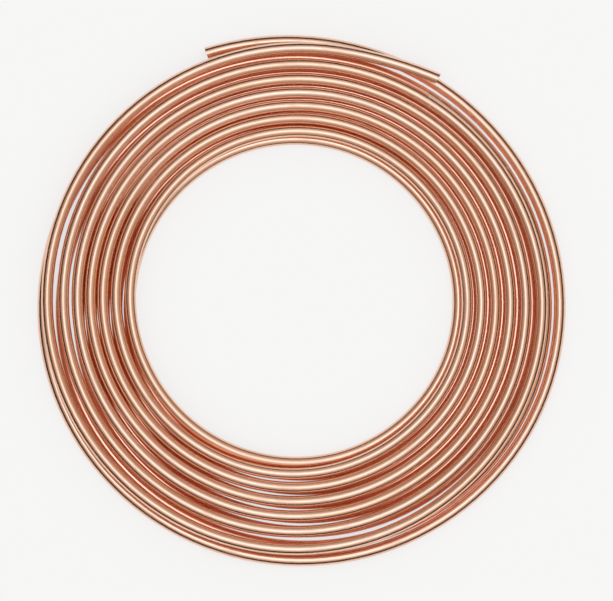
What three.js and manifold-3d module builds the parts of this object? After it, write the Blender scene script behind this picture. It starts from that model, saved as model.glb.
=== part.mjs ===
/**
 * Coil of soft copper tube, wound flat in two layers, as it is sold for water, fuel and refrigerant lines.
 *
 * The coil is one length of tube. From its first cut end, on the outside, it winds inward through the
 * lower layer to the open eye in the middle, climbs one layer there, and winds outward again through the
 * upper layer to its second cut end. Each turn keeps nearly one radius for the first part of the way
 * round, then steps across to its next place, so the upper turns cross over the lower ones.
 *
 * Units are millimetres and +Z is up. The coil lies on its lower layer at z = 0 with the middle of its
 * outline at x = y = 0. Winding angles are in degrees, clockwise seen from above, counted from +Y.
 */
import * as THREE from 'three';
import * as BufferGeometryUtils from 'three/addons/utils/BufferGeometryUtils.js';
import Module from 'manifold-3d';

// The tube: 3/8 in soft copper with a 0.032 in wall.
const TUBE_RADIUS = 9.525 / 2;
const TUBE_WALL = 0.81;
const SECTION_SIDES = 8;

// The winding.
const FULL_TURN = 360;
const TURNS_PER_LAYER = 7;
const STATIONS_PER_TURN = 48;
const LAYER_GAP = 0.3;
const FIRST_END_ANGLE = -20.5;
const LAST_END_ANGLE = 2 * TURNS_PER_LAYER * FULL_TURN + 32;

// How each layer lies. Turns are counted outward from the eye. The radius of the innermost turn grows by
// the pitch, and a little more or less in the outer turns as they loosen. The innermost turn's middle lies
// at the offset from the winding axis, and each turn further out lies one drift further along. Slight waves
// with a few crests put the turns out of round, and the first crest of each lies along its direction. Each
// step is the part of a turn over which the tube steps across to its next place, in the order of winding.
// Each bend is a stretch, in turns wound in the layer, that reaches out or in from the rest of its turn.
const LOWER_LAY = {
  innerRadius: 131.57,
  pitch: 11.13,
  loosening: -0.005,
  offset: new THREE.Vector2(-3.63, 0.34),
  drift: new THREE.Vector2(0.81, -0.46),
  waves: [{ crests: 2, height: 1, direction: 87 }, { crests: 3, height: 0.43, direction: 5 }],
  steps: [[0.7, 1.16], [0.37, 1.09], ...Array(5).fill([0.42, 0.81])],
  bends: [{ start: 0.24, end: 0.54, reach: -0.5 }, { start: 1.18, end: 1.6, reach: 1.05 }],
};
const UPPER_LAY = {
  innerRadius: 127.58,
  pitch: 10.32,
  loosening: 0.0235,
  offset: new THREE.Vector2(-2.87, 0.73),
  drift: new THREE.Vector2(0.75, -0.55),
  waves: [{ crests: 2, height: 0.37, direction: 130 }],
  steps: [[0.3, 1.09], ...Array(5).fill([0.38, 0.91]), [0.33, 0.9]],
  bends: [
    { start: 2.56, end: 2.92, reach: 0.7 },
    { start: 3.6, end: 3.95, reach: 0.5 },
    { start: 4.95, end: 5.2, reach: -0.4 },
    { start: 5.95, end: 6.24, reach: -0.8 },
  ],
};

// In the turn at the eye the tube climbs to the upper layer, bows outward as it climbs, and moves over to
// the upper layer's lay.
const CLIMB_START = 0.36;
const CLIMB_END = 0.7;
const CLIMB_BOW = 1;
const MOVE_START = 0.44;
const MOVE_END = 0.56;

// The two free ends spring outward, by this much over this angle.
const FIRST_END_SPRING = 10.5;
const FIRST_END_SPRING_ANGLE = 85;
const LAST_END_SPRING = 5.87;
const LAST_END_SPRING_ANGLE = 21.9;

// The open bore is cut this far into each end, and its cutter starts this far outside the cut face.
const BORE_ANGLE = 15;
const BORE_OVERSHOOT_ANGLE = 0.5;

const COPPER = new THREE.MeshStandardMaterial({ color: 0xc8805f, roughness: 0.25, metalness: 1 });

/** Rises from 0 at the start to 1 half way, and falls back to 0 at the end. */
function swell(fraction) {
  return 4 * fraction * (1 - fraction);
}

/** How far waves round the coil's axis reach out at a winding angle. */
function waveHeight(waves, angle) {
  return waves.reduce((sum, { crests, height, direction }) => (
    sum + height * Math.cos(crests * THREE.MathUtils.degToRad(angle - direction))
  ), 0);
}

/** Steps that the tube has made in a layer, after it has wound some turns there. */
function stepsMade(lay, turnsWound) {
  return lay.steps.reduce((sum, [start, end], turn) => (
    sum + THREE.MathUtils.smoothstep(turnsWound, turn + start, turn + end)
  ), 0);
}

/** How far the bends of a layer reach out, after the tube has wound some turns there. */
function bendReach(lay, turnsWound) {
  return lay.bends.reduce((sum, { start, end, reach }) => (
    sum + reach * swell(THREE.MathUtils.smoothstep(turnsWound, start, end))
  ), 0);
}

/** Radius of the tube's centre line in one layer, some turns out from the eye, at a winding angle. */
function layRadius(lay, turnsOut, angle) {
  const direction = THREE.MathUtils.degToRad(angle);
  const shiftX = lay.offset.x + lay.drift.x * turnsOut;
  const shiftY = lay.offset.y + lay.drift.y * turnsOut;
  const turnRadius = lay.innerRadius + lay.pitch * turnsOut + lay.loosening * turnsOut ** 3;
  const shift = shiftX * Math.sin(direction) + shiftY * Math.cos(direction);
  return turnRadius + shift + waveHeight(lay.waves, angle);
}

/** How far a free end springs out, at an angle past the point where it leaves the winding. */
function springOut(anglePastStart, springAngle, spring) {
  return spring * Math.max(anglePastStart / springAngle, 0) ** 2;
}

/** Centre line radius in the lower layer, which winds inward from the first end. */
function lowerRadius(angle) {
  const turnsWound = angle / FULL_TURN;
  const turnsOut = TURNS_PER_LAYER - stepsMade(LOWER_LAY, turnsWound);
  const springStart = FIRST_END_ANGLE + FIRST_END_SPRING_ANGLE;
  const spring = springOut(springStart - angle, FIRST_END_SPRING_ANGLE, FIRST_END_SPRING);
  return layRadius(LOWER_LAY, turnsOut, angle) + bendReach(LOWER_LAY, turnsWound) + spring;
}

/** Centre line radius in the upper layer, which winds outward to the last end. */
function upperRadius(angle) {
  const turnsWound = angle / FULL_TURN - TURNS_PER_LAYER;
  const turnsOut = stepsMade(UPPER_LAY, turnsWound);
  const springStart = LAST_END_ANGLE - LAST_END_SPRING_ANGLE;
  const spring = springOut(angle - springStart, LAST_END_SPRING_ANGLE, LAST_END_SPRING);
  return layRadius(UPPER_LAY, turnsOut, angle) + bendReach(UPPER_LAY, turnsWound) + spring;
}

/** Centre line of the tube at a winding angle: its radius from the winding axis and its height. */
function routeAt(angle) {
  const eyeTurn = angle / FULL_TURN - TURNS_PER_LAYER;
  const climb = THREE.MathUtils.smoothstep(eyeTurn, CLIMB_START, CLIMB_END);
  const move = THREE.MathUtils.smoothstep(eyeTurn, MOVE_START, MOVE_END);
  return {
    radius: THREE.MathUtils.lerp(lowerRadius(angle), upperRadius(angle), move) + CLIMB_BOW * swell(climb),
    height: TUBE_RADIUS + climb * (2 * TUBE_RADIUS + LAYER_GAP),
  };
}

/** Winding angles at which a section stands: both ends, and the even stations of each turn between. */
function stationAngles(start, end) {
  const spacing = FULL_TURN / STATIONS_PER_TURN;
  const angles = [start];
  for (let i = Math.floor(start / spacing) + 1; i * spacing < end; i += 1) {
    angles.push(i * spacing);
  }
  angles.push(end);
  return angles;
}

/** Regular section whose flats lie on the true round, with flats outermost, innermost, top and bottom. */
function roundSection(radius) {
  const cornerRadius = radius / Math.cos(Math.PI / SECTION_SIDES);
  const corners = [];
  for (let i = 0; i < SECTION_SIDES; i += 1) {
    const turn = (2 * Math.PI * (i + 0.5)) / SECTION_SIDES;
    corners.push(new THREE.Vector2(cornerRadius * Math.cos(turn), cornerRadius * Math.sin(turn)));
  }
  return corners;
}

/** Turns a section about the coil's axis along the route, as one closed solid with flat ends. */
function turnAlongRoute(section, angles) {
  const positions = [];
  for (const angle of angles) {
    const direction = THREE.MathUtils.degToRad(angle);
    const { radius, height } = routeAt(angle);
    for (const corner of section) {
      const reach = radius + corner.x;
      positions.push(reach * Math.sin(direction), reach * Math.cos(direction), height + corner.y);
    }
  }

  const indices = [];
  const sides = section.length;
  for (let station = 0; station < angles.length - 1; station += 1) {
    for (let side = 0; side < sides; side += 1) {
      const near = station * sides + side;
      const nearNext = station * sides + ((side + 1) % sides);
      indices.push(near, nearNext, nearNext + sides);
      indices.push(near, nearNext + sides, near + sides);
    }
  }
  const lastRing = (angles.length - 1) * sides;
  for (const [a, b, c] of THREE.ShapeUtils.triangulateShape(section, [])) {
    indices.push(c, b, a);
    indices.push(lastRing + a, lastRing + b, lastRing + c);
  }

  const geometry = new THREE.BufferGeometry();
  geometry.setAttribute('position', new THREE.Float32BufferAttribute(positions, 3));
  geometry.setIndex(indices);
  return BufferGeometryUtils.mergeVertices(geometry);
}

const wasm = await Module();
wasm.setup();

function toManifold(geometry) {
  const vertProperties = new Float32Array(geometry.getAttribute('position').array);
  const triVerts = new Uint32Array(geometry.getIndex().array);
  return new wasm.Manifold(new wasm.Mesh({ numProp: 3, vertProperties, triVerts }));
}

function toGeometry(manifold) {
  const { vertProperties, triVerts } = manifold.getMesh();
  const geometry = new THREE.BufferGeometry();
  geometry.setAttribute('position', new THREE.BufferAttribute(vertProperties, 3));
  geometry.setIndex(new THREE.BufferAttribute(triVerts, 1));
  return geometry;
}

/** The wound tube, with its bore open at both cut ends. */
function coilGeometry() {
  const tube = turnAlongRoute(roundSection(TUBE_RADIUS), stationAngles(FIRST_END_ANGLE, LAST_END_ANGLE));
  const boreSection = roundSection(TUBE_RADIUS - TUBE_WALL);
  const firstBore = turnAlongRoute(
    boreSection,
    stationAngles(FIRST_END_ANGLE - BORE_OVERSHOOT_ANGLE, FIRST_END_ANGLE + BORE_ANGLE),
  );
  const lastBore = turnAlongRoute(
    boreSection,
    stationAngles(LAST_END_ANGLE - BORE_ANGLE, LAST_END_ANGLE + BORE_OVERSHOOT_ANGLE),
  );
  const bored = toManifold(tube).subtract(toManifold(firstBore)).subtract(toManifold(lastBore));
  return toGeometry(bored);
}

/** Moves the coil so that the middle of its outline stands over the origin. */
function centreOverOrigin(geometry) {
  geometry.computeBoundingBox();
  const middle = geometry.boundingBox.getCenter(new THREE.Vector3());
  return geometry.translate(-middle.x, -middle.y, 0);
}

const coil = new THREE.Mesh(centreOverOrigin(coilGeometry()), COPPER);
coil.name = 'copper_tube';

const group = new THREE.Group();
group.add(coil);

export default group;
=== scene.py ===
import math

import bpy
import numpy as np
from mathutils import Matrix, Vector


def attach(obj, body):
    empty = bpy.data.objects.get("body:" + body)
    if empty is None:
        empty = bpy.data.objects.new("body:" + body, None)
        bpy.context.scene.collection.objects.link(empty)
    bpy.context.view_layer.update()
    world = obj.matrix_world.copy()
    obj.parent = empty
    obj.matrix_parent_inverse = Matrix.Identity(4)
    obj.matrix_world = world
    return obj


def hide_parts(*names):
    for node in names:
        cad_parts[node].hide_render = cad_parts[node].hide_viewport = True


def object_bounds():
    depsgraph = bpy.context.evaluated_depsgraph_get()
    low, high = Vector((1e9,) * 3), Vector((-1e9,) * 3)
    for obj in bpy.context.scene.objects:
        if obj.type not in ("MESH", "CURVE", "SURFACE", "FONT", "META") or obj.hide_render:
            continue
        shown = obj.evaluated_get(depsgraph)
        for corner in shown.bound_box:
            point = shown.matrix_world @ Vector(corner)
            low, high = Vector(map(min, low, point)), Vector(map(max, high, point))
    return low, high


# A coil of soft copper tube on a pale studio floor, seen from straight above. The tube's round skin is
# drawn along the CAD part's own route, and replaces its faceted solid.
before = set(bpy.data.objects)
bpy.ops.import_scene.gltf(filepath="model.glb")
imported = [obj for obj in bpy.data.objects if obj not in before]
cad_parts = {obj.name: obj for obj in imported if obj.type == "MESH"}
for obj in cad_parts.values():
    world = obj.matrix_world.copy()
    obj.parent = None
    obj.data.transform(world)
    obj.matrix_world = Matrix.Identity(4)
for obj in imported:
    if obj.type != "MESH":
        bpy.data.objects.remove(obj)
cad_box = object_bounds()

# ---------------------------------------------------------------------------------------------
# The tube and its winding, with the CAD part's own sizes in metres. Winding angles are in degrees,
# clockwise seen from above, counted from +Y.
# ---------------------------------------------------------------------------------------------
MM = 0.001

# The tube, and how far its open bore reaches into each end.
TUBE_RADIUS = 9.525 / 2 * MM
TUBE_WALL = 0.81 * MM
BORE_RADIUS = TUBE_RADIUS - TUBE_WALL
BORE_ANGLE = 15.0

# The winding.
FULL_TURN = 360.0
TURNS_PER_LAYER = 7
LAYER_GAP = 0.3 * MM
FIRST_END_ANGLE = -20.5
LAST_END_ANGLE = 2 * TURNS_PER_LAYER * FULL_TURN + 32

# How each layer lies. Turns are counted outward from the eye. The radius of the innermost turn grows by
# the pitch, and a little more or less in the outer turns as they loosen. The innermost turn's middle lies
# at the offset from the winding axis, and each turn further out lies one drift further along. Slight waves
# put the turns out of round. Each step is the part of a turn over which the tube steps across to its next
# place, in the order of winding. Each bend is a stretch, in turns wound in the layer, and how far it
# reaches out or in from the rest of its turn.
LOWER_LAY = dict(
    inner_radius=131.57 * MM,
    pitch=11.13 * MM,
    loosening=-0.005 * MM,
    offset=(-3.63 * MM, 0.34 * MM),
    drift=(0.81 * MM, -0.46 * MM),
    waves=[dict(crests=2, height=1.0 * MM, direction=87), dict(crests=3, height=0.43 * MM, direction=5)],
    steps=[(0.7, 1.16), (0.37, 1.09)] + [(0.42, 0.81)] * 5,
    bends=[(0.24, 0.54, -0.5 * MM), (1.18, 1.6, 1.05 * MM)],
)
UPPER_LAY = dict(
    inner_radius=127.58 * MM,
    pitch=10.32 * MM,
    loosening=0.0235 * MM,
    offset=(-2.87 * MM, 0.73 * MM),
    drift=(0.75 * MM, -0.55 * MM),
    waves=[dict(crests=2, height=0.37 * MM, direction=130)],
    steps=[(0.3, 1.09)] + [(0.38, 0.91)] * 5 + [(0.33, 0.9)],
    bends=[(2.56, 2.92, 0.7 * MM), (3.6, 3.95, 0.5 * MM), (4.95, 5.2, -0.4 * MM), (5.95, 6.24, -0.8 * MM)],
)

# In the turn at the eye the tube climbs to the upper layer, bows outward as it climbs, and moves over to
# the upper layer's lay. The climb and the move are each given as the part of the turn that they take.
CLIMB = (0.36, 0.7)
CLIMB_BOW = 1.0 * MM
MOVE = (0.44, 0.56)

# The two free ends spring outward, by this much over this angle.
FIRST_END_SPRING = 10.5 * MM
FIRST_END_SPRING_ANGLE = 85.0
LAST_END_SPRING = 5.87 * MM
LAST_END_SPRING_ANGLE = 21.9

# How finely the tube's skin is drawn, and the kinds of surface that it has.
SECTION_SIDES = 32
STATION_SPACING = 3.0
CUT_CHAMFER = 0.12 * MM
SHARP_ANGLE = 30.0
WALL, CUT, BORE = range(3)

# ---------------------------------------------------------------------------------------------
# The copper: its colours, how rough it is and how high its marks stand. Draw lines and smudges add to the
# roughness, and the cut faces and the bore have their own. The bore's much darker colour is painted shade.
# ---------------------------------------------------------------------------------------------
COPPER_COLOR = (0.96, 0.625, 0.47, 1.0)
WARM_COLOR = (0.945, 0.575, 0.405, 1.0)
TARNISH_COLOR = (0.78, 0.465, 0.32, 1.0)
CUT_COLOR = (0.9, 0.56, 0.42, 1.0)
# Painted shade: the bore is coloured much darker than the copper, as if in shadow inside the tube.
BORE_PAINTED_SHADE_COLOR = (0.5, 0.27, 0.18, 1.0)
PATCH_STRENGTH = 0.45
STAIN_STRENGTH = 0.35
ROUGHNESS = 0.18
LINE_ROUGHNESS = 0.05
SMUDGE_ROUGHNESS = 0.1
CUT_ROUGHNESS = 0.36
BORE_ROUGHNESS = 0.45
WAVE_HEIGHT = 0.12 * MM
LINE_HEIGHT = 0.012 * MM
SCRATCH_HEIGHT = 0.02 * MM

# Marks on the copper. Each has how closely it lies across the tube, both ways, and along it, per metre,
# how fine its noise is, and the values of that noise between which it fades in.
TINT_DRIFT = dict(density=(20.0, 20.0, 2.5), detail=2.0, fade=(0.35, 0.65))
PATCHES = dict(density=(90.0, 90.0, 12.0), detail=3.0, fade=(0.52, 0.78))
STAINS = dict(density=(700.0, 700.0, 25.0), detail=3.0, fade=(0.6, 0.8))
SMUDGES = dict(density=(120.0, 120.0, 60.0), detail=3.0, fade=(0.5, 0.75))
SCRATCHES = dict(density=(900.0, 2600.0, 90.0), detail=2.0, fade=(0.7, 0.76))

# Draw lines and waves stand as high as their own noise. As draw lines fade in, they also dull the copper.
DRAW_LINES = dict(density=(3200.0, 3200.0, 14.0), detail=3.0, graininess=0.6)
DRAW_LINES_FADE = (0.3, 0.7)
WAVES = dict(density=(60.0, 60.0, 16.0), detail=1.0)

# ---------------------------------------------------------------------------------------------
# The floor, which glows white, by a share, to the camera and in the metal. Within reach of the coil it is
# shaded, a little to the camera and more in the metal, which sees under the coil.
# ---------------------------------------------------------------------------------------------
FLOOR_SIDE = 60.0
FLOOR_DROP = 0.2 * MM
FLOOR_COLOR = (0.9, 0.9, 0.9, 1.0)
FLOOR_GLOW = 0.85
SHADE_REACH = 0.05
SHADE_IN_VIEW = 0.2
SHADE_IN_METAL = 0.6

# ---------------------------------------------------------------------------------------------
# A dark card in a ring round the coil, clear of the floor. Only the metal sees it: it darkens the flanks
# that face outward, as the photograph's surroundings do.
# ---------------------------------------------------------------------------------------------
CARD_RADIUS = 0.45
CARD_FOOT = 0.055
CARD_TOP = 0.2
CARD_SIDES = 96
CARD_GLOW = 0.02

# ---------------------------------------------------------------------------------------------
# Light: a soft overhead light, longer up and down the picture than across it, that falls off towards the
# horizon, turns warmer towards the sides, and is a little stronger on the right. Each level of brightness
# stands at an angle from straight up, in degrees.
# ---------------------------------------------------------------------------------------------
SKY_LEVELS = [
    (0, 2.2),
    (6, 1.76),
    (12, 1.24),
    (20, 0.93),
    (30, 0.6),
    (50, 0.44),
    (62, 0.42),
    (72, 0.3),
    (82, 0.18),
    (90, 0.12),
]
SKY_GAIN = 1.09
OVERHEAD_TINT = (0.82, 0.895, 1.0)
SIDE_TINT = (1.0, 0.815, 0.65)
SIDE_ANGLE = 60.0
LIGHT_SHAPE = (1.3, 0.75, 1.0)
RIGHT_GAIN = 0.25

# The grooves between the turns pass light on many times before they are dark.
LIGHT_BOUNCES = 16

# ---------------------------------------------------------------------------------------------
# The photograph's frame, in its own pixels, and the camera
# ---------------------------------------------------------------------------------------------
IMAGE_WIDTH = 613
IMAGE_HEIGHT = 601
TUBE_DIAMETER_PIXELS = 11.8
WINDING_AXIS_PIXEL = (299.0, 301.5)
CAMERA_HEIGHT = 8.0
SENSOR_WIDTH = 36.0


# ---------------------------------------------------------------------------------------------
# The tube's route
# ---------------------------------------------------------------------------------------------
def smoothstep(value, start, end):
    """Rises smoothly from 0 at the start to 1 at the end."""
    fraction = np.clip((value - start) / (end - start), 0.0, 1.0)
    return fraction * fraction * (3.0 - 2.0 * fraction)


def swell(fraction):
    """Rises from 0 at the start to 1 half way, and falls back to 0 at the end."""
    return 4.0 * fraction * (1.0 - fraction)


def wave_height(waves, angle):
    """How far waves round the coil's axis reach out at a winding angle."""
    return sum(
        wave["height"] * np.cos(wave["crests"] * np.radians(angle - wave["direction"]))
        for wave in waves
    )


def steps_made(lay, turns_wound):
    """Steps that the tube has made in a layer, after it has wound some turns there."""
    return sum(
        smoothstep(turns_wound, turn + start, turn + end)
        for turn, (start, end) in enumerate(lay["steps"])
    )


def bend_reach(lay, turns_wound):
    """How far the bends of a layer reach out, after the tube has wound some turns there."""
    return sum(reach * swell(smoothstep(turns_wound, start, end)) for start, end, reach in lay["bends"])


def lay_radius(lay, turns_out, angle):
    """Radius of the tube's centre line in one layer, some turns out from the eye, at a winding angle."""
    direction = np.radians(angle)
    shift_x = lay["offset"][0] + lay["drift"][0] * turns_out
    shift_y = lay["offset"][1] + lay["drift"][1] * turns_out
    turn_radius = lay["inner_radius"] + lay["pitch"] * turns_out + lay["loosening"] * turns_out**3
    shift = shift_x * np.sin(direction) + shift_y * np.cos(direction)
    return turn_radius + shift + wave_height(lay["waves"], angle)


def spring_out(angle_past_start, spring_angle, spring):
    """How far a free end springs out, at an angle past the point where it leaves the winding."""
    return spring * np.maximum(angle_past_start / spring_angle, 0.0) ** 2


def lower_radius(angle):
    """Centre line radius in the lower layer, which winds inward from the first end."""
    turns_wound = angle / FULL_TURN
    turns_out = TURNS_PER_LAYER - steps_made(LOWER_LAY, turns_wound)
    spring_start = FIRST_END_ANGLE + FIRST_END_SPRING_ANGLE
    spring = spring_out(spring_start - angle, FIRST_END_SPRING_ANGLE, FIRST_END_SPRING)
    return lay_radius(LOWER_LAY, turns_out, angle) + bend_reach(LOWER_LAY, turns_wound) + spring


def upper_radius(angle):
    """Centre line radius in the upper layer, which winds outward to the last end."""
    turns_wound = angle / FULL_TURN - TURNS_PER_LAYER
    turns_out = steps_made(UPPER_LAY, turns_wound)
    spring_start = LAST_END_ANGLE - LAST_END_SPRING_ANGLE
    spring = spring_out(angle - spring_start, LAST_END_SPRING_ANGLE, LAST_END_SPRING)
    return lay_radius(UPPER_LAY, turns_out, angle) + bend_reach(UPPER_LAY, turns_wound) + spring


def route_at(angle):
    """Centre line of the tube at winding angles: its radius from the winding axis and its height."""
    eye_turn = angle / FULL_TURN - TURNS_PER_LAYER
    climb = smoothstep(eye_turn, *CLIMB)
    move = smoothstep(eye_turn, *MOVE)
    radius = (1 - move) * lower_radius(angle) + move * upper_radius(angle) + CLIMB_BOW * swell(climb)
    height = TUBE_RADIUS + climb * (2 * TUBE_RADIUS + LAYER_GAP)
    return radius, height


# ---------------------------------------------------------------------------------------------
# The tube's mesh
# ---------------------------------------------------------------------------------------------
def skin_rings():
    """
    Rings round the tube's one closed skin: from the floor of the first bore out over its cut face, along
    the outside, over the last cut face and down into its bore. Each ring has its winding angle, its radius,
    how far it is moved along the tube, and the surface between it and the next ring.
    """
    first_station = math.floor(FIRST_END_ANGLE / STATION_SPACING) + 1
    last_station = math.ceil(LAST_END_ANGLE / STATION_SPACING)
    angles = np.arange(first_station, last_station) * STATION_SPACING
    first_bore_angles = angles[angles < FIRST_END_ANGLE + BORE_ANGLE][::-1]
    last_bore_angles = angles[angles > LAST_END_ANGLE - BORE_ANGLE][::-1]
    return [
        *((angle, BORE_RADIUS, 0.0, BORE) for angle in first_bore_angles),
        (FIRST_END_ANGLE, BORE_RADIUS, CUT_CHAMFER, CUT),
        (FIRST_END_ANGLE, BORE_RADIUS + CUT_CHAMFER, 0.0, CUT),
        (FIRST_END_ANGLE, TUBE_RADIUS - CUT_CHAMFER, 0.0, CUT),
        (FIRST_END_ANGLE, TUBE_RADIUS, CUT_CHAMFER, WALL),
        *((angle, TUBE_RADIUS, 0.0, WALL) for angle in angles),
        (LAST_END_ANGLE, TUBE_RADIUS, -CUT_CHAMFER, CUT),
        (LAST_END_ANGLE, TUBE_RADIUS - CUT_CHAMFER, 0.0, CUT),
        (LAST_END_ANGLE, BORE_RADIUS + CUT_CHAMFER, 0.0, CUT),
        (LAST_END_ANGLE, BORE_RADIUS, -CUT_CHAMFER, BORE),
        *((angle, BORE_RADIUS, 0.0, BORE) for angle in last_bore_angles),
    ]


def quads_between_rings(ring_count, sides):
    """Faces between each ring of points and the next one."""
    faces = []
    for ring in range(ring_count - 1):
        near = ring * sides
        far = near + sides
        for side in range(sides):
            next_side = (side + 1) % sides
            faces.append((near + side, near + next_side, far + next_side, far + side))
    return faces


def centred_in_cad_box(points):
    """
    The points with the middle of their outline over the origin, and the place of the winding axis then.
    The facets of the CAD cut its outline a hair short, so the points are drawn in to fit its box.
    """
    lowest = points.min(0)
    highest = points.max(0)
    middle = (lowest + highest)[:2] / 2
    cad_size = np.array(cad_box[1]) - np.array(cad_box[0])
    fit = min(1.0, (cad_size / (highest - lowest))[:2].min())
    return np.column_stack([(points[:, :2] - middle) * fit, points[:, 2]]), -middle


def add_places_on_tube(mesh, centres):
    """Gives the corners of each face their place along the tube and around it, in metres, as a UV map."""
    lengths = np.linalg.norm(np.diff(centres, axis=0), axis=1)
    along = np.concatenate([[0.0], np.cumsum(lengths)])
    around = 2 * np.pi * TUBE_RADIUS * np.arange(SECTION_SIDES + 1) / SECTION_SIDES
    quads = np.zeros((len(centres) - 1, SECTION_SIDES, 4, 2))
    quads[:, :, :2, 0] = along[:-1, None, None]
    quads[:, :, 2:, 0] = along[1:, None, None]
    quads[:, :, [0, 3], 1] = around[:-1, None]
    quads[:, :, [1, 2], 1] = around[1:, None]

    # The last two faces, the bores' floors, stay at zero.
    places = np.zeros((len(mesh.loops), 2), np.float32)
    places[:quads.size // 2] = quads.reshape(-1, 2)
    mesh.uv_layers.new(name="along_and_around").data.foreach_set("uv", places.ravel())


def mark_surfaces(mesh, surfaces):
    """Marks which faces are cut, and which line the bore. The last two faces are the bores' floors."""
    surface_of_face = np.append(np.repeat(surfaces[:-1], SECTION_SIDES), [BORE, BORE])
    for name, surface in (("cut", CUT), ("bore", BORE)):
        mask = mesh.attributes.new(name, "FLOAT", "FACE")
        mask.data.foreach_set("value", (surface_of_face == surface).astype(np.float32))


def build_tube():
    """The tube as one closed mesh with its bore open at both ends, and the place of the winding axis."""
    angles, radii, moves_along, surfaces = map(np.array, zip(*skin_rings()))
    centre_radius, height = route_at(angles)
    direction = np.radians(angles) + moves_along / centre_radius
    outward = np.stack([np.sin(direction), np.cos(direction), np.zeros(len(angles))], axis=-1)
    upward = np.array([0.0, 0.0, 1.0])
    centres = centre_radius[:, None] * outward + height[:, None] * upward

    around = 2 * np.pi * np.arange(SECTION_SIDES)[:, None] / SECTION_SIDES
    spokes = np.cos(around) * outward[:, None] + np.sin(around) * upward
    points = (centres[:, None] + radii[:, None, None] * spokes).reshape(-1, 3)
    points, winding_axis = centred_in_cad_box(points)

    faces = quads_between_rings(len(angles), SECTION_SIDES)
    faces.append(tuple(range(SECTION_SIDES - 1, -1, -1)))
    faces.append(tuple(range(len(points) - SECTION_SIDES, len(points))))
    mesh = bpy.data.meshes.new("coil_of_tube")
    mesh.from_pydata(points.tolist(), [], faces)
    add_places_on_tube(mesh, centres)
    mark_surfaces(mesh, surfaces)
    mesh.shade_smooth()
    mesh.set_sharp_from_angle(angle=math.radians(SHARP_ANGLE))
    return mesh, winding_axis


# ---------------------------------------------------------------------------------------------
# Materials
# ---------------------------------------------------------------------------------------------
class Nodes:
    """Short ways to add nodes to a material or a world, which starts empty."""

    # The mix node has sockets for each kind of data: its two inputs and its output, by number.
    MIX_SOCKETS = {"FLOAT": (2, 3, 0), "RGBA": (6, 7, 2)}

    def __init__(self, owner):
        owner.use_nodes = True
        self.tree = owner.node_tree
        self.tree.nodes.clear()

    def add(self, kind):
        return self.tree.nodes.new("ShaderNode" + kind)

    def give(self, socket, value):
        """Links an output to a socket, or sets the socket to a plain value."""
        if isinstance(value, bpy.types.NodeSocket):
            self.tree.links.new(value, socket)
        else:
            socket.default_value = value

    def give_all(self, node, values):
        """Gives the first sockets of a node these values, in order."""
        for socket, value in zip(node.inputs, values):
            self.give(socket, value)

    def math(self, operation, *values):
        node = self.add("Math")
        node.operation = operation
        self.give_all(node, values)
        return node.outputs["Value"]

    def vector_math(self, operation, *vectors):
        node = self.add("VectorMath")
        node.operation = operation
        self.give_all(node, vectors)
        return node.outputs["Vector"]

    def split(self, vector):
        node = self.add("SeparateXYZ")
        self.give(node.inputs["Vector"], vector)
        return node.outputs

    def join(self, x, y, z):
        node = self.add("CombineXYZ")
        self.give_all(node, (x, y, z))
        return node.outputs["Vector"]

    def noise(self, place, density, detail, graininess=0.5):
        """Noise that is as dense along each axis as the density says."""
        node = self.add("TexNoise")
        self.give(node.inputs["Vector"], self.vector_math("MULTIPLY", place, density))
        self.give(node.inputs["Scale"], 1.0)
        self.give(node.inputs["Detail"], detail)
        self.give(node.inputs["Roughness"], graininess)
        return node.outputs["Fac"]

    def fade_in(self, value, low, high):
        """Rises smoothly from 0 at the low value to 1 at the high one."""
        node = self.add("MapRange")
        node.interpolation_type = "SMOOTHSTEP"
        self.give_all(node, (value, low, high))
        return node.outputs["Result"]

    def mix(self, amount, first, second, data="FLOAT"):
        node = self.add("Mix")
        node.data_type = data
        first_socket, second_socket, result = self.MIX_SOCKETS[data]
        self.give(node.inputs["Factor"], amount)
        self.give(node.inputs[first_socket], first)
        self.give(node.inputs[second_socket], second)
        return node.outputs[result]

    def mix_color(self, amount, first, second):
        return self.mix(amount, first, second, "RGBA")

    def attribute(self, name):
        """Value that the mesh holds under this name."""
        node = self.add("Attribute")
        node.attribute_name = name
        return node.outputs["Fac"]

    def bump(self, height, distance, normal=None):
        node = self.add("Bump")
        self.give(node.inputs["Height"], height)
        self.give(node.inputs["Distance"], distance)
        if normal is not None:
            self.give(node.inputs["Normal"], normal)
        return node.outputs["Normal"]

    def emission(self, strength):
        node = self.add("Emission")
        self.give(node.inputs["Strength"], strength)
        return node.outputs["Emission"]

    def finish(self, surface, output="OutputMaterial"):
        """Makes this shader the surface of the material or world."""
        self.give(self.add(output).inputs["Surface"], surface)


def new_material(name):
    material = bpy.data.materials.new(name)
    return material, Nodes(material)


def place_on_tube(nodes):
    """Place on the tube as if it were laid out straight, so that marks run along it and close round it."""
    uv = nodes.add("UVMap")
    uv.uv_map = "along_and_around"
    along_and_around = nodes.split(uv.outputs["UV"])
    angle = nodes.math("DIVIDE", along_and_around["Y"], TUBE_RADIUS)
    x = nodes.math("MULTIPLY", nodes.math("COSINE", angle), TUBE_RADIUS)
    y = nodes.math("MULTIPLY", nodes.math("SINE", angle), TUBE_RADIUS)
    return nodes.join(x, y, along_and_around["X"])


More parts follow.
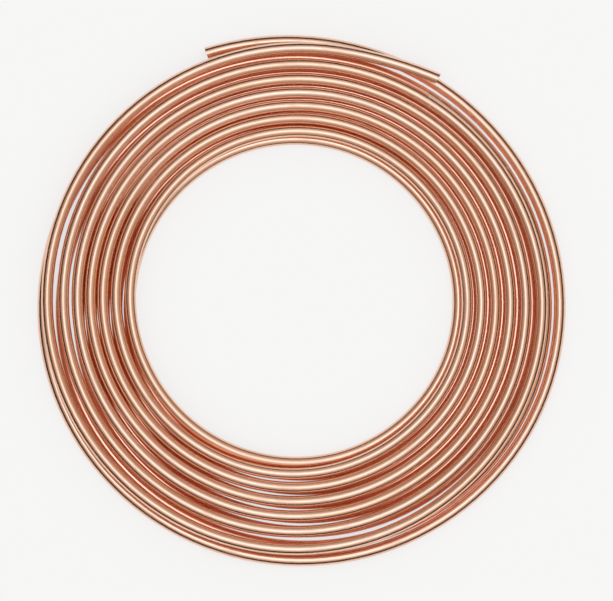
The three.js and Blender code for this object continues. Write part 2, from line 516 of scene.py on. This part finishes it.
def copper_material():
    """Bright drawn copper: long faint draw lines, slow changes of tint, handling marks and scratches."""
    material, nodes = new_material("bright_drawn_copper")
    on_tube = place_on_tube(nodes)
    is_cut = nodes.attribute("cut")
    is_bore = nodes.attribute("bore")

    def marks(density, detail, fade):
        return nodes.fade_in(nodes.noise(on_tube, density, detail), *fade)

    # Tint: it drifts along the tube, with browner patches and a few thin stains drawn out lengthwise.
    color = nodes.mix_color(marks(**TINT_DRIFT), COPPER_COLOR, WARM_COLOR)
    color = nodes.mix_color(nodes.math("MULTIPLY", marks(**PATCHES), PATCH_STRENGTH), color, TARNISH_COLOR)
    color = nodes.mix_color(nodes.math("MULTIPLY", marks(**STAINS), STAIN_STRENGTH), color, TARNISH_COLOR)
    color = nodes.mix_color(is_cut, color, CUT_COLOR)
    # Painted shade: the bore's copper is darkened, standing in for the shade inside the tube.
    color = nodes.mix_color(is_bore, color, BORE_PAINTED_SHADE_COLOR)

    # Gloss: it is dulled by the draw lines and by smudges from handling, and more where the tube is cut.
    lines = nodes.noise(on_tube, **DRAW_LINES)
    line_roughness = nodes.math("MULTIPLY", nodes.fade_in(lines, *DRAW_LINES_FADE), LINE_ROUGHNESS)
    smudge_roughness = nodes.math("MULTIPLY", marks(**SMUDGES), SMUDGE_ROUGHNESS)
    roughness = nodes.math("ADD", nodes.math("ADD", ROUGHNESS, line_roughness), smudge_roughness)
    roughness = nodes.mix(is_cut, roughness, CUT_ROUGHNESS)
    roughness = nodes.mix(is_bore, roughness, BORE_ROUGHNESS)

    # Relief: the tube is slightly wavy, with draw lines along it, and short scratches.
    normal = nodes.bump(nodes.noise(on_tube, **WAVES), WAVE_HEIGHT)
    normal = nodes.bump(lines, LINE_HEIGHT, normal)
    normal = nodes.bump(marks(**SCRATCHES), -SCRATCH_HEIGHT, normal)

    shader = nodes.add("BsdfPrincipled")
    nodes.give(shader.inputs["Metallic"], 1.0)
    nodes.give(shader.inputs["Base Color"], color)
    nodes.give(shader.inputs["Roughness"], roughness)
    nodes.give(shader.inputs["Normal"], normal)
    nodes.finish(shader.outputs["BSDF"])
    return material


def floor_material():
    """Pale floor that shows near white to the camera and in the metal, and keeps the coil's shadow."""
    material, nodes = new_material("pale_floor")
    seen_by = nodes.add("LightPath").outputs
    occlusion = nodes.add("AmbientOcclusion")
    nodes.give(occlusion.inputs["Distance"], SHADE_REACH)
    openness = occlusion.outputs["AO"]
    in_view = nodes.math("MAXIMUM", seen_by["Is Camera Ray"], seen_by["Is Transmission Ray"])
    in_view = nodes.math("MULTIPLY", in_view, nodes.mix(SHADE_IN_VIEW, 1.0, openness))
    in_metal = nodes.math("MULTIPLY", seen_by["Is Glossy Ray"], nodes.mix(SHADE_IN_METAL, 1.0, openness))
    glow = nodes.math("MULTIPLY", nodes.math("MAXIMUM", in_view, in_metal), FLOOR_GLOW)

    diffuse = nodes.add("BsdfDiffuse")
    nodes.give(diffuse.inputs["Color"], FLOOR_COLOR)
    mix = nodes.add("MixShader")
    nodes.give_all(mix, (glow, diffuse.outputs["BSDF"], nodes.emission(1.0)))
    nodes.finish(mix.outputs["Shader"])
    return material


def card_material():
    """Card of an even dark grey, whatever light falls on it."""
    material, nodes = new_material("dark_card")
    nodes.finish(nodes.emission(CARD_GLOW))
    return material


# ---------------------------------------------------------------------------------------------
# Floor and card
# ---------------------------------------------------------------------------------------------
def floor_mesh():
    half = FLOOR_SIDE / 2
    corners = [(-half, -half, 0), (half, -half, 0), (half, half, 0), (-half, half, 0)]
    mesh = bpy.data.meshes.new("floor")
    mesh.from_pydata(corners, [], [(0, 1, 2, 3)])
    mesh.materials.append(floor_material())
    return mesh


def card_mesh():
    around = 2 * np.pi * np.arange(CARD_SIDES) / CARD_SIDES
    points = [
        (CARD_RADIUS * math.cos(turn), CARD_RADIUS * math.sin(turn), height)
        for height in (CARD_FOOT, CARD_TOP)
        for turn in around
    ]
    mesh = bpy.data.meshes.new("dark_card")
    mesh.from_pydata(points, [], quads_between_rings(2, CARD_SIDES))
    mesh.materials.append(card_material())
    return mesh


# ---------------------------------------------------------------------------------------------
# Light and camera
# ---------------------------------------------------------------------------------------------
def sky_tint(angle):
    """Colour of the light at an angle from straight up."""
    sideways = float(smoothstep(angle, 0.0, SIDE_ANGLE))
    return [(1 - sideways) * top + sideways * side for top, side in zip(OVERHEAD_TINT, SIDE_TINT)]


def studio_world():
    """The world, which holds the soft overhead light."""
    world = bpy.data.worlds.new("studio")
    nodes = Nodes(world)
    direction = nodes.add("TexCoord").outputs["Generated"]
    shaped = nodes.vector_math("NORMALIZE", nodes.vector_math("MULTIPLY", direction, LIGHT_SHAPE))

    # The ramp runs from the horizon to straight up. Its colours are shares of the brightest level.
    ramp = nodes.add("ValToRGB")
    nodes.give(ramp.inputs["Fac"], nodes.split(shaped)["Z"])
    stops = ramp.color_ramp.elements
    while len(stops) < len(SKY_LEVELS):
        stops.new(0.5)
    brightest = max(level for _, level in SKY_LEVELS)
    for stop, (angle, level) in zip(stops, reversed(SKY_LEVELS)):
        stop.position = math.cos(math.radians(angle))
        stop.color = [level / brightest * channel for channel in sky_tint(angle)] + [1.0]

    background = nodes.add("Background")
    full_strength = brightest * SKY_GAIN
    to_the_right = nodes.split(direction)["X"]
    strength = nodes.math("MULTIPLY_ADD", to_the_right, RIGHT_GAIN * full_strength, full_strength)
    nodes.give(background.inputs["Color"], ramp.outputs["Color"])
    nodes.give(background.inputs["Strength"], strength)
    nodes.finish(background.outputs["Background"], "OutputWorld")
    return world


def add_object(name, data):
    """Puts a new object with this mesh or camera into the scene."""
    added = bpy.data.objects.new(name, data)
    bpy.context.scene.collection.objects.link(added)
    return added


def add_camera(winding_axis):
    """Camera that looks straight down on the coil, and frames it as the photograph does."""
    metres_per_pixel = 2 * TUBE_RADIUS / TUBE_DIAMETER_PIXELS
    middle_height = (cad_box[0].z + cad_box[1].z) / 2
    data = bpy.data.cameras.new("camera")
    data.sensor_width = SENSOR_WIDTH
    data.lens = SENSOR_WIDTH * (CAMERA_HEIGHT - middle_height) / (IMAGE_WIDTH * metres_per_pixel)
    camera = add_object("camera", data)
    camera.location = (
        winding_axis[0] + (IMAGE_WIDTH / 2 - WINDING_AXIS_PIXEL[0]) * metres_per_pixel,
        winding_axis[1] + (WINDING_AXIS_PIXEL[1] - IMAGE_HEIGHT / 2) * metres_per_pixel,
        CAMERA_HEIGHT,
    )
    return camera


# ---------------------------------------------------------------------------------------------
# The scene
# ---------------------------------------------------------------------------------------------
tube_mesh, winding_axis = build_tube()
tube_mesh.materials.append(copper_material())
tube = add_object("bare_copper_tube", tube_mesh)
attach(tube, "root")
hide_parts("copper_tube")

floor = add_object("floor", floor_mesh())
floor.location.z = -FLOOR_DROP

card = add_object("dark_card", card_mesh())
card.visible_camera = False
card.visible_diffuse = False
card.visible_transmission = False
card.visible_shadow = False

scene = bpy.context.scene
scene.world = studio_world()
scene.camera = add_camera(winding_axis)
scene.view_settings.view_transform = "Standard"
scene.cycles.max_bounces = LIGHT_BOUNCES
scene.cycles.glossy_bounces = LIGHT_BOUNCES
